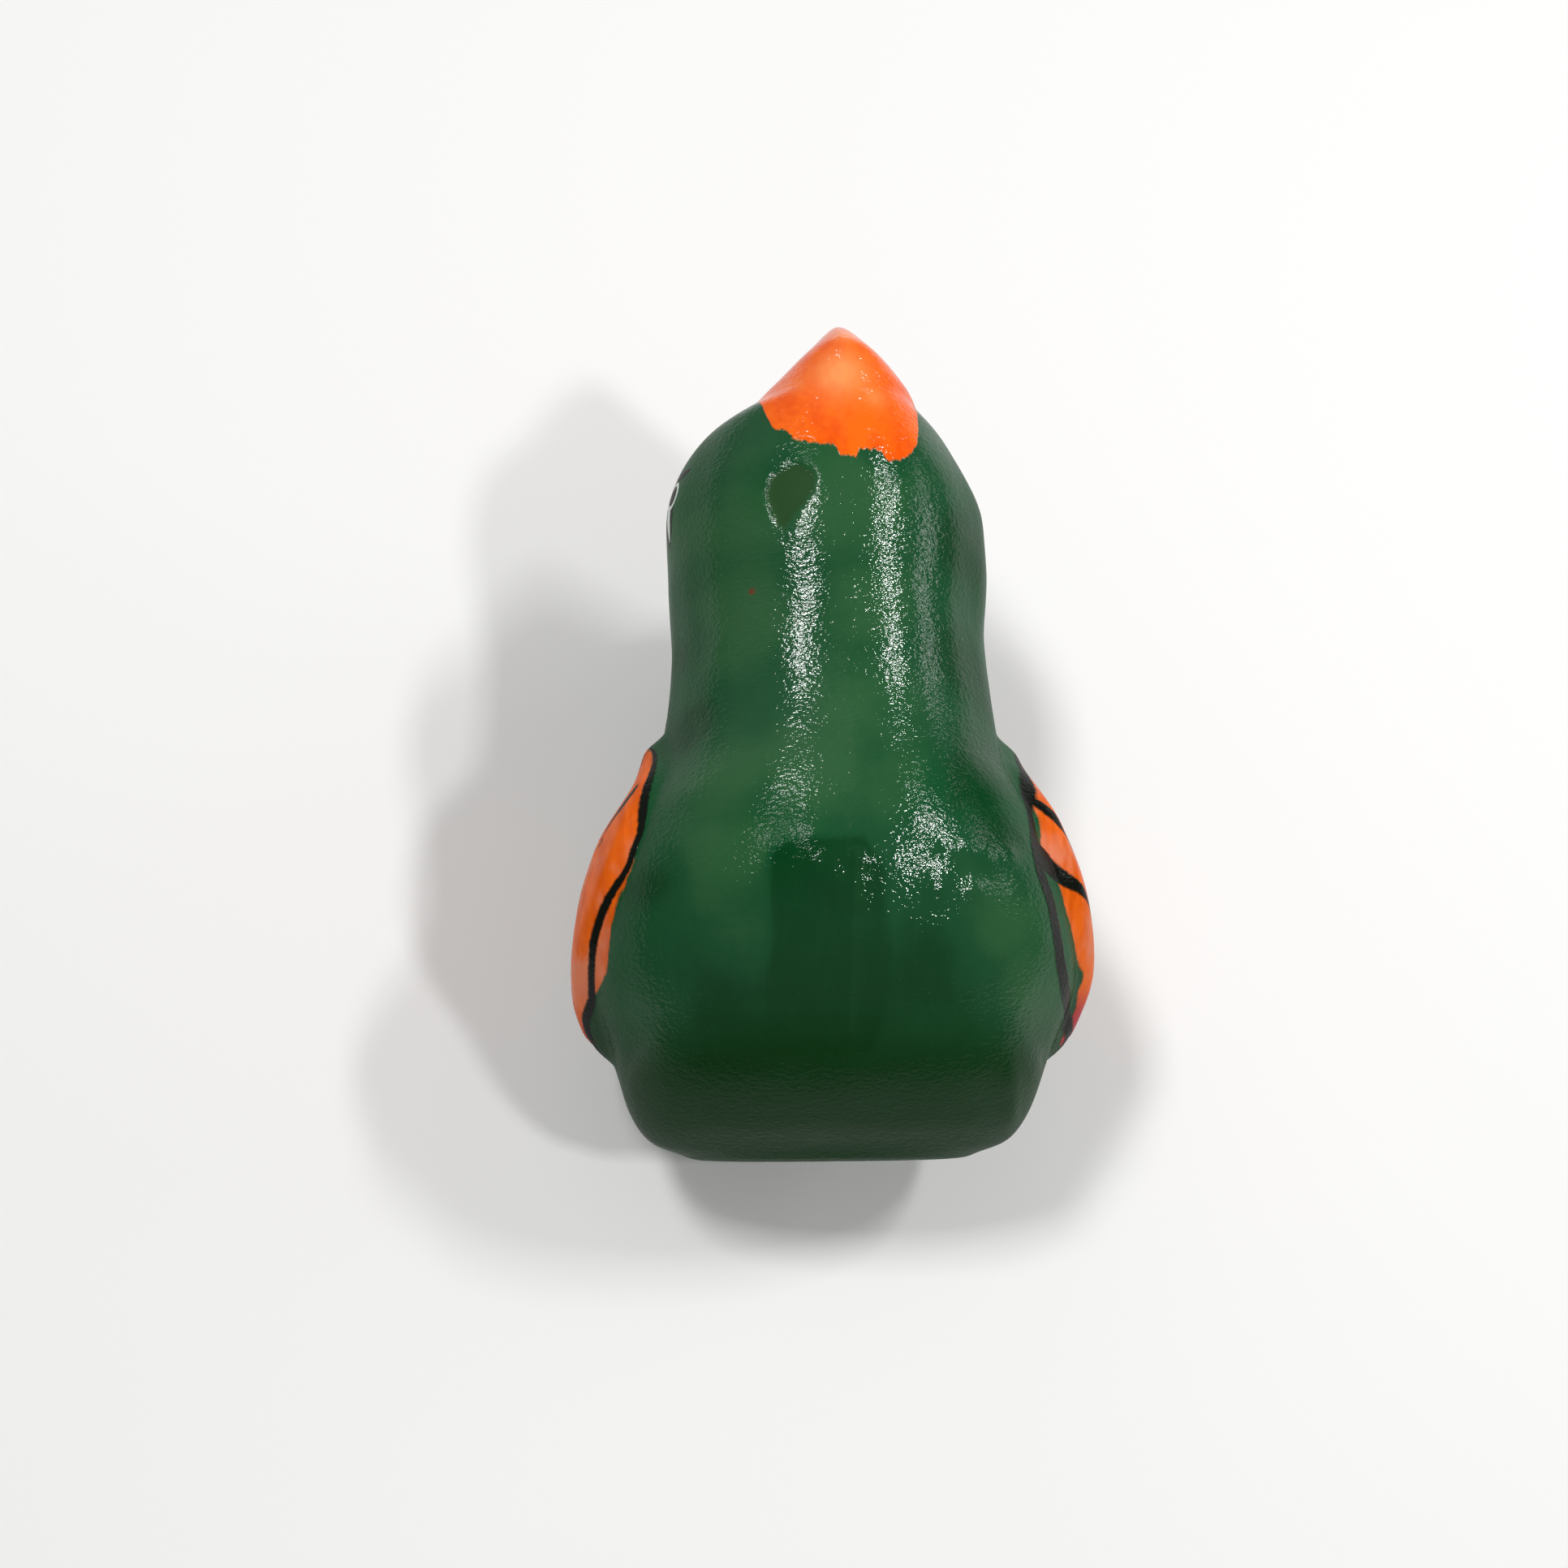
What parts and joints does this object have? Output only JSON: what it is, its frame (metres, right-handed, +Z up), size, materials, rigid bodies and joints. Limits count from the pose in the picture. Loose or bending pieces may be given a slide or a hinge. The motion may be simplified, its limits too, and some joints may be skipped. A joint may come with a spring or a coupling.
{
  "type": "bird whistle",
  "caption": "Hollow moulded clay bird whistle, painted green with an orange beak and wings; the broad tail is the mouthpiece and the window is under the rump.",
  "frame": {"origin": "middle of the bounding box in plan, on the surface that the bird rests on", "axes": "+Y from the tail to the beak, +Z up through the back, +X to the bird's right"},
  "size_m": [0.0416, 0.0644, 0.0379],
  "materials": {
    "painted_clay": "glossy green lacquer over fired clay, with hand-painted orange beak and wings"
  },
  "bodies": {
    "root": {"bird_whistle": "painted_clay"}
  },
  "joints": []
}
